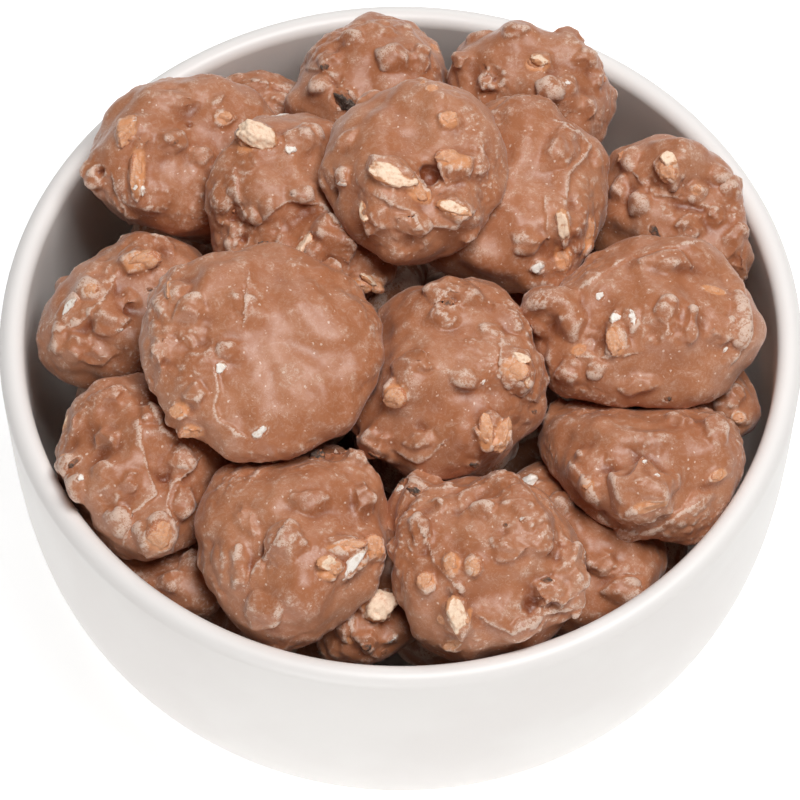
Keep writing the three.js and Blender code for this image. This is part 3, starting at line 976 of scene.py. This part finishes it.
SAME_SKIN = 2  # mm, skin this far above or below a nut's middle still belongs to it


def around_nut(points, tree, x, y, length, width, turn):
    """Distance from a nut's middle in its own half lengths, and how near the skin's points are."""
    place, normal = surface_at(tree, x, y)
    if place is None:
        return None, None
    local = (points - np.array(place)) @ np.array(facing(normal, turn)) / MM
    oval = np.hypot(local[:, 0] / (length / 2), local[:, 1] / (width / 2))
    return oval, bell(local[:, 2] / SAME_SKIN)


# %% Dents, folds and lips
DEEPEST = 3 * MM  # a dent where its paint is full
TALLEST = 1.5 * MM  # a fold where its paint is full
FOLD_BACK, FOLD_EDGE = 2.6 * MM, 0.45 * MM  # how far a fold reaches behind its edge and past it
LIP_HEIGHT = 0.22 * MM  # of the chocolate round a nut that sticks out
LIP_PLACE, LIP_WIDTH = 1.2, 0.22  # in half lengths of the nut
FILM_REACH = 1.6  # chocolate is thin over a nut as far as this, in its half lengths
NUT_KINDS = ("almonds", "tans", "whites", "darks")


def near_marks(points, tree, name, uneven):
    """For each point: how deep in a dent, how high on a fold or lip, how near a nut, how calm."""
    sunk, raised, nut, calm = (np.zeros(len(points)) for _ in range(4))
    for x, y, across, depth in marks_of(name, "pits"):
        place, _ = surface_at(tree, x, y)
        if place is not None:
            away = around_place(points, place, across) * (1 + 0.5 * uneven)
            sunk = np.maximum(sunk, bell(away, 3) * depth * MM / DEEPEST)
    for pixels, tall in marks_of(name, "folds"):
        line = [surface_at(tree, x, y)[0] for x, y in pixels]
        line = [place for place in line if place is not None]
        if len(line) > 1:
            away, left = beside_line(points, line)
            reach = np.where(left, FOLD_BACK, FOLD_EDGE) * (1 + 0.3 * uneven)
            raised = np.maximum(raised, bell(away / reach) * tall * MM / TALLEST)
    for x, y, across in marks_of(name, "smooth"):
        place, _ = surface_at(tree, x, y)
        if place is not None:
            away = around_place(points, place, across) * (1 + 0.3 * uneven)
            calm = np.maximum(calm, bell(away, 4))
    for kind in NUT_KINDS:
        for mark in marks_of(name, kind):
            oval, near = around_nut(points, tree, *mark)
            if oval is not None:
                ragged = np.maximum(0, 0.5 + 1.5 * uneven)
                lip = bell((oval - LIP_PLACE) / LIP_WIDTH) * near * ragged
                raised = np.maximum(raised, lip * LIP_HEIGHT / TALLEST)
                if kind == "tans":
                    nut = np.maximum(nut, bell(oval / FILM_REACH, 4) * near)
    return sunk, raised, nut, calm


# %% All relief of a cluster
KNOB_PATCH, CRAG_PATCH = 13 * MM, 9 * MM  # how wide the patches with and without them are
LEAST_KNOBS = 0.15  # share of their height that knobs keep between their patches
UNEVENNESS = 1.4 * MM  # how wide the wobbles in a painted outline are


def relief(piece, name):
    """Swells all over, the rest in patches, and the marked dents and folds.

    A cluster without marks gets swells and knobs only. The others also keep, for their
    finish, where the chocolate is only a film over a nut and where it is craggy.
    """
    push(piece, "swells")
    points = points_of(piece.data)
    knobby = smooth_step(drift_at(points, KNOB_PATCH), -0.1, 0.3)
    knobs = LEAST_KNOBS + (1 - LEAST_KNOBS) * knobby
    if name not in MARKS:
        paint(piece, "knobs", knobs)
        push(piece, "knobs", "knobs")
        piece.vertex_groups.clear()
        return
    uneven = drift_at(points, UNEVENNESS)
    sunk, raised, nut, calm = near_marks(points, tree_of(piece), name, uneven)
    crags = np.maximum(smooth_step(drift_at(points, CRAG_PATCH), 0.08, 0.38), 0.6 * nut)
    paint(piece, "dents", sunk)
    paint(piece, "folds", raised)
    paint(piece, "knobs", knobs * (1 - calm))
    paint(piece, "crags", crags * (1 - calm))
    push(piece, "knobs", "knobs")
    push(piece, "ripples", "knobs")
    push(piece, "crags", "crags")
    modify(piece, "DISPLACE", strength=-DEEPEST, mid_level=0, vertex_group="dents")
    modify(piece, "DISPLACE", strength=TALLEST, mid_level=0, vertex_group="folds")
    piece.vertex_groups.clear()
    store(piece.data, "nut", nut)
    store(piece.data, "crag", crags - calm)


# %% [markdown]
# A finish has to know which parts of the skin stand proud, because those rub pale, and
# which lie deep, because those are given a painted shade. Smoothing a copy of the points
# many times gives a skin without lumps, and how far a vertex stands out of that skin is
# exactly what rubs. Two amounts of smoothing give two sizes of the same thing: edges, and whole
# lumps.


# %% How far each vertex stands out
def spread_out(values, pairs, rounds):
    """Each vertex moves halfway to the mean of its neighbours, again and again."""
    first, second = pairs.T

    def of_neighbours(column):
        return (np.bincount(first, column[second], len(values))
                + np.bincount(second, column[first], len(values)))

    neighbours = of_neighbours(np.ones(len(values)))
    for _ in range(rounds):
        total = np.stack([of_neighbours(column) for column in values.T], axis=1)
        values = 0.5 * values + 0.5 * total / neighbours[:, None]
    return values


EDGE_ROUNDS, LUMP_ROUNDS = 6, 60
EDGE_UNIT, LUMP_UNIT = 0.04 * MM, 0.35 * MM  # a finish reads the heights in these


def measure_relief(mesh):
    """Keeps how far each vertex stands out of its edge and out of its lump."""
    pairs = np.empty(len(mesh.edges) * 2, int)
    mesh.edges.foreach_get("vertices", pairs)
    pairs = pairs.reshape(-1, 2)
    points, normals = points_of(mesh), normals_of(mesh)
    edge_free = spread_out(points, pairs, EDGE_ROUNDS)
    lump_free = spread_out(edge_free, pairs, LUMP_ROUNDS)
    store(mesh, "edge", ((points - edge_free) * normals).sum(1) / EDGE_UNIT)
    store(mesh, "lump", ((edge_free - lump_free) * normals).sum(1) / LUMP_UNIT)


# %% Make every cluster
FIRST_SEED = 500
clusters, skins = {}, {}
for number, name in enumerate(SHOWN + HIDDEN):
    piece = poured(name, random.Random(FIRST_SEED + number))
    relief(piece, name)
    measure_relief(piece.data)
    piece.data.shade_smooth()
    clusters[name] = piece
    skins[name] = tree_of(piece)
skin_faces = sum(len(piece.data.polygons) for piece in clusters.values())
print(len(clusters), "clusters,", skin_faces, "faces")

# %% [markdown]
# ## Milk chocolate
#
# Milk chocolate is a satin brown that is never even. Its hollows are drawn redder and
# darker, as a painted shade. It is lighter over a nut that lies just below, and paler and
# greyer where it was rubbed in transport. That pale scuff comes in five sizes: a haze all
# over, patches with dust in them that gather on whatever stands proud, sharp brinks, short
# scratches and round specks. Its gloss is broad and soft, and rubbed places lose it.

# %% Chocolate
CHOCOLATE = rgb(172, 108, 72)
# the painted shade of the hollows
CHOCOLATE_HOLLOW_SHADE = rgb(124, 62, 32)
CHOCOLATE_PALE = rgb(182, 121, 86)
NUT_BELOW = rgb(216, 146, 96)
SCUFF = rgb(228, 202, 184)
SPECK_SPACING = 1.5 * MM
SPECK_WOBBLE = 0.6 * MM  # how far a speck's outline is pulled about

chocolate = Finish("milk_chocolate", specular_ior_level=0.5, sheen_weight=0.2, sheen_roughness=0.35)
edge, lump = chocolate.attribute("edge"), chocolate.attribute("lump")
nut, crag = chocolate.attribute("nut"), chocolate.attribute("crag")
drift = chocolate.noise(13 * MM, 2, 0.5)
cloudy = chocolate.noise(3.4 * MM, 3, 0.6, 0.4)
crumb = chocolate.noise(0.45 * MM, 3, 0.75, 0.8)
grain = chocolate.noise(0.24 * MM, 2, 0.6)

# Where it was rubbed, as patches, and the fine pale grains inside a patch.
patch = chocolate.step(cloudy + 0.07 * edge + 0.03 * crag, 0.50, 0.74)
smear = chocolate.noise(1.3 * MM, 4, 0.8, 1.0)
dust = patch * chocolate.step(0.55 * crumb + 0.45 * smear + 0.03 * edge, 0.51, 0.59)
haze = chocolate.step(smear, 0.46, 0.66)
brink = chocolate.step(edge, 1.0, 3.0) * chocolate.step(crumb, 0.40, 0.58)
scratch = chocolate.step(chocolate.noise(0.8 * MM, 3, 0.7, 2.5), 0.58, 0.66)
scratch = scratch * chocolate.step(drift, 0.4, 0.6)

# Round specks: scattered points, each with a size of its own, with a wobbly outline.
shake = chocolate.noise(0.5 * MM, 1, output="Color")
shaken = chocolate.node(
    "ShaderNodeVectorMath", {"operation": "SCALE"}, {0: shake, "Scale": SPECK_WOBBLE})
wobble = chocolate.node(
    "ShaderNodeVectorMath", {"operation": "ADD"}, {0: chocolate.places, 1: shaken})
dot = chocolate.cells(SPECK_SPACING, wobble, "Distance")
own_colour = chocolate.cells(SPECK_SPACING, wobble, "Color")
own_size = chocolate.node("ShaderNodeSeparateColor", None, {0: own_colour}, "Red")
speck = chocolate.step(0.2 * own_size - dot, 0.0, 0.05)

# The chocolate itself with a painted shade in its hollows, then the scuffs from the broadest to the
# finest.
paler = chocolate.step(0.6 * drift + 0.4 * cloudy, 0.38, 0.62)
tone = chocolate.blend(paler, CHOCOLATE, CHOCOLATE_PALE)
# painted shade: where the skin lies below its lump, it is drawn redder and darker
tone = chocolate.blend(chocolate.step(0 - lump, 0.1, 1.8), tone, CHOCOLATE_HOLLOW_SHADE)
tone = chocolate.blend(0.9 * chocolate.step(nut + 0.6 * crumb, 0.7, 1.15), tone, NUT_BELOW)
tone = chocolate.blend(0.1 * patch + 0.16 * haze, tone, SCUFF)
tone = chocolate.blend(0.55 * dust, tone, SCUFF)
tone = chocolate.blend(0.6 * brink + 0.22 * scratch, tone, SCUFF)
tone = chocolate.blend(0.75 * speck, tone, SCUFF)
fine = chocolate.bump(crumb, 0.12 * MM, 0.3 + 0.6 * patch)
finer = chocolate.bump(grain, 0.05 * MM, 0.5, fine)
chocolate.set(base_color=tone, roughness=0.36 + 0.26 * patch + 0.08 * drift, normal=finer)
for name, piece in clusters.items():
    settle(piece, chocolate.material, name)

# %% [markdown]
# ## Nuts and biscuit
#
# Where the chocolate broke or ran thin, the filling shows: almond with cream-white broken
# faces and tan skin, splinters of bright white, and dark biscuit. A broken nut has flat
# faces and crumbly edges. So each kind starts as a ball that is cut by several planes, as
# a knife would. A voxel remesh gives it even faces, two rounds of smoothing take off the
# machined look, and a cloud texture roughens it. The faces that a cut made are kept in a
# vertex value, because they are pale and the skin isn't.


# %% Broken pieces to copy
crumbling = bpy.data.textures.new("crumbling", "CLOUDS")
crumbling.noise_scale = 0.16
crumbling.noise_depth = 2
BIT_VOXEL = 0.068  # of a ball that is 1 wide
TOP_TILT = 0.35  # how far the broad face leans, at most
SIDE_LEAN = (0.1, 0.8)  # how far a side cut looks up
SIDE_DISTANCE = (0.28, 0.42)  # of a side cut from the ball's middle


def broken(name, face, cuts, seed, rough):
    """A ball of width 1 with one broad face on top, cut by more planes, and roughened.

    The value "cut" is 1 on the faces of a cut.
    """
    dice = random.Random(seed)
    bpy.ops.mesh.primitive_ico_sphere_add(subdivisions=4, radius=0.5)
    piece = added(name)
    lean = [dice.uniform(-TOP_TILT, TOP_TILT) for _ in range(2)]
    planes = [(Vector((*lean, 1)).normalized(), face)]
    for _ in range(cuts):
        turn = dice.uniform(0, 2 * math.pi)
        way = Vector((math.cos(turn), math.sin(turn), dice.uniform(*SIDE_LEAN))).normalized()
        planes.append((way, dice.uniform(*SIDE_DISTANCE)))
    bpy.ops.object.mode_set(mode="EDIT")
    for way, share in planes:
        bpy.ops.mesh.select_all(action="SELECT")
        bpy.ops.mesh.bisect(plane_co=way * share, plane_no=way, use_fill=True, clear_outer=True)
    bpy.ops.object.mode_set(mode="OBJECT")
    modify(piece, "REMESH", mode="VOXEL", voxel_size=BIT_VOXEL)
    modify(piece, "SMOOTH", factor=0.5, iterations=2)
    points = points_of(piece.data)
    cut = np.zeros(len(points))
    for way, share in planes:
        cut = np.maximum(cut, smooth_step(points @ np.array(way) - share, -0.06, -0.02))
    store(piece.data, "cut", cut)
    modify(piece, "DISPLACE", texture=crumbling, strength=rough, mid_level=0.5,
           texture_coords="LOCAL")
    piece.hide_render = True
    return piece


# %% Shapes of each kind
CUTTING = {  # how many shapes, first seed, distance of the broad face, side cuts, roughness
    "almonds": (4, 20, 0.24, 3, 0.18),
    "tans": (4, 40, 0.34, 3, 0.14),
    "whites": (2, 60, 0.3, 3, 0.16),
    "darks": (2, 80, 0.3, 4, 0.25),
}
KINDS = {
    kind: [broken(f"{kind}_{i}", face, cuts, seed + i, rough) for i in range(shapes)]
    for kind, (shapes, seed, face, cuts, rough) in CUTTING.items()
}
PIECE_NAMES = {
    "almonds": "almond_pieces", "tans": "roasted_pieces",
    "whites": "white_splinters", "darks": "biscuit_crumbs",
}
SINK = {"almonds": 0.1, "tans": 0.3, "whites": 0.1, "darks": 0.12}  # share of the height
THICKNESS = {"almonds": 0.95, "tans": 0.9, "whites": 0.8, "darks": 0.8}  # share of the width
UNDER_EDGE = 1.2  # a piece is this much wider than it shows, and its edge lies in the chocolate
print({kind: [len(piece.data.polygons) for piece in shapes] for kind, shapes in KINDS.items()})


# %% Set them in the chocolate
def set_in(kind, cluster, place, normal, length, width, turn, dice):
    """A piece sunk in a skin. The value "proud" is how far each of its points stands out."""
    size = Vector((length, width, THICKNESS[kind] * min(length, width))) * UNDER_EDGE * MM
    sunk = place - normal * SINK[kind] * size.z
    matrix = Matrix.Translation(sunk) @ facing(normal, turn).to_4x4() @ Matrix.Diagonal((*size, 1))
    piece = copy_of(dice.choice(KINDS[kind]), "bit", matrix)
    depths = []
    for vertex in piece.data.vertices:
        near, outward, _, _ = skins[cluster].find_nearest(vertex.co)
        depths.append((vertex.co - near).dot(outward) / MM)
    store(piece.data, "proud", depths)
    return piece


bits = {kind: [] for kind in KINDS}
dice = random.Random(9)
for cluster in SHOWN:
    for kind in KINDS:
        for x, y, length, width, turn in marks_of(cluster, kind):
            place, normal = surface_at(skins[cluster], x, y)
            if place is not None:
                bits[kind].append(set_in(kind, cluster, place, normal, length, width, turn, dice))

# %% More of them on the sides that the picture doesn't show
CHANCE_BITS = 4  # tries for each cluster
CHANCE_KINDS = ("almonds", "tans", "tans", "whites", "darks")
BIT_LENGTH, BIT_SLIMNESS = (2.2, 6), (0.4, 0.8)
BARE_BELOW = 12 * MM  # under the rim, the heap hides them
for cluster in SHOWN:
    for place, normal in chance_places(skins[cluster], clusters[cluster], CHANCE_BITS, dice):
        kind = dice.choice(CHANCE_KINDS)
        length = dice.uniform(*BIT_LENGTH)
        width = length * dice.uniform(*BIT_SLIMNESS)
        turn = dice.uniform(0, 180)
        turned_away = normal.dot(camera.location - place) < 0
        if turned_away and place.z > rim_centre.z - BARE_BELOW:
            bits[kind].append(set_in(kind, cluster, place, normal, length, width, turn, dice))
for kind, pieces in bits.items():
    bits[kind] = joined(pieces, PIECE_NAMES[kind])
    print(PIECE_NAMES[kind], len(pieces), "pieces,", len(bits[kind].data.polygons), "faces")

# %% [markdown]
# Each kind has its own finish. Almond flesh is cream with a faint grain, and it turns tan
# towards its skin. Wherever a piece goes under the chocolate it wears a thin brown film,
# which the value "proud" places: it is how far a point stands out of the skin.

# %% Nut finishes
THIN_FILM, THICK_FILM = rgb(200, 136, 94), rgb(174, 112, 76)


def crumbly(name, pale, dark, film, bare_from, bare_to, roughness, crust):
    """A nut's own finish, with its film of chocolate.

    Pale is a broken face, and dark is its skin. The film covers what stands out less than
    bare_from, and nothing above bare_to. Crust is how much of the piece wears pale crumbs.
    """
    finish = Finish(name, roughness=roughness)
    cut, proud = finish.attribute("cut"), finish.attribute("proud")
    mottle = finish.noise(1.1 * MM, 3, 0.6)
    speckle = finish.noise(0.35 * MM, 3, 0.7)
    flesh = finish.step(0.5 * cut + mottle, 0.65, 1.05)
    tone = finish.blend(flesh, dark, pale)
    tone = finish.blend(0.3 * finish.step(speckle, 0.45, 0.7), tone, dark)
    tone = finish.blend(crust * finish.step(speckle, 0.48, 0.62), tone, SCUFF)
    bare = finish.step(proud + 1.2 * mottle + 0.5 * speckle, bare_from, bare_to)
    tone = finish.blend(bare, film, tone)
    rough = finish.bump(speckle, 0.08 * MM, 0.7, finish.bump(mottle, 0.2 * MM, 0.6))
    finish.set(base_color=tone, normal=rough)
    return finish.material


FINISHES = {
    "almonds": crumbly(
        "almond", rgb(252, 224, 196), rgb(216, 154, 110), THIN_FILM, 0.75, 1.3, 0.5, 0.1),
    "tans": crumbly(
        "roasted_almond", rgb(224, 164, 122), rgb(192, 120, 80), THIN_FILM, 0.5, 1.4, 0.6, 0.5),
    "whites": crumbly(
        "white_splinter", rgb(248, 241, 232), rgb(218, 194, 174), THICK_FILM, 0.75, 1.1, 0.5, 0),
    "darks": crumbly(
        "dark_biscuit", rgb(72, 58, 50), rgb(38, 30, 27), THICK_FILM, 0.7, 1.3, 0.75, 0.15),
}
for kind, piece in bits.items():
    piece.data.shade_smooth()
    settle(piece, FINISHES[kind])

for spare in [*KERNELS, *sum(KINDS.values(), [])]:
    bpy.data.objects.remove(spare)

# %% [markdown]
# ## Floor and light
#
# The picture was lit softly from above, on a bright white table, so the tops shine, no
# shadow has a hard edge, and the gaps in the heap stay dark. The sky is kept very low,
# because it would fill those gaps. A panel close above, a little to the right, models the
# clusters. A larger one behind gives the chocolate its sheen, and a low one at the front
# lights the bowl's outside. The floor glows like a light table.

# %% Floor
FLOOR_SIZE = 6
FLOOR_GLOW = 0.64
PAPER_PATCH = 0.2  # how wide its faint cloudiness is
bpy.ops.mesh.primitive_plane_add(size=FLOOR_SIZE, location=(0, 0, 0))
floor = added("floor")
paper = Finish("paper", roughness=0.9)
cloudiness = paper.noise(PAPER_PATCH)
paper.set(base_color=paper.blend(cloudiness, rgb(236, 236, 236), rgb(234, 234, 234)))
paper.set(emission_color=(1, 1, 1, 1), emission_strength=FLOOR_GLOW)
floor.data.materials.append(paper.material)

# %% Light
SKY = 0.03
world = bpy.data.worlds.new("white_room")
world.use_nodes = True
background = world.node_tree.nodes["Background"]
background.inputs["Color"].default_value = (1, 1, 1, 1)
background.inputs["Strength"].default_value = SKY
bpy.context.scene.world = world


def panel(name, place, size, watts):
    """A soft square light that looks at the middle of the heap."""
    data = bpy.data.lights.new(name, "AREA")
    data.shape, data.size, data.energy = "SQUARE", size, watts
    light = bpy.data.objects.new(name, data)
    bpy.context.collection.objects.link(light)
    light.location = place
    light.rotation_euler = (rim_centre - light.location).to_track_quat("-Z", "Y").to_euler()


panel("top_panel", Vector((0.15, -0.07, 0.8)), 0.36, 5.3)
panel("back_panel", Vector((0.1, 1.4, 0.9)), 0.9, 5)
panel("front_panel", Vector((-0.4, -1.4, 0.12)), 0.7, 7)
bpy.context.scene.view_settings.view_transform = "Standard"
print(len(bpy.data.lights), "panels, floor", FLOOR_SIZE, "m")
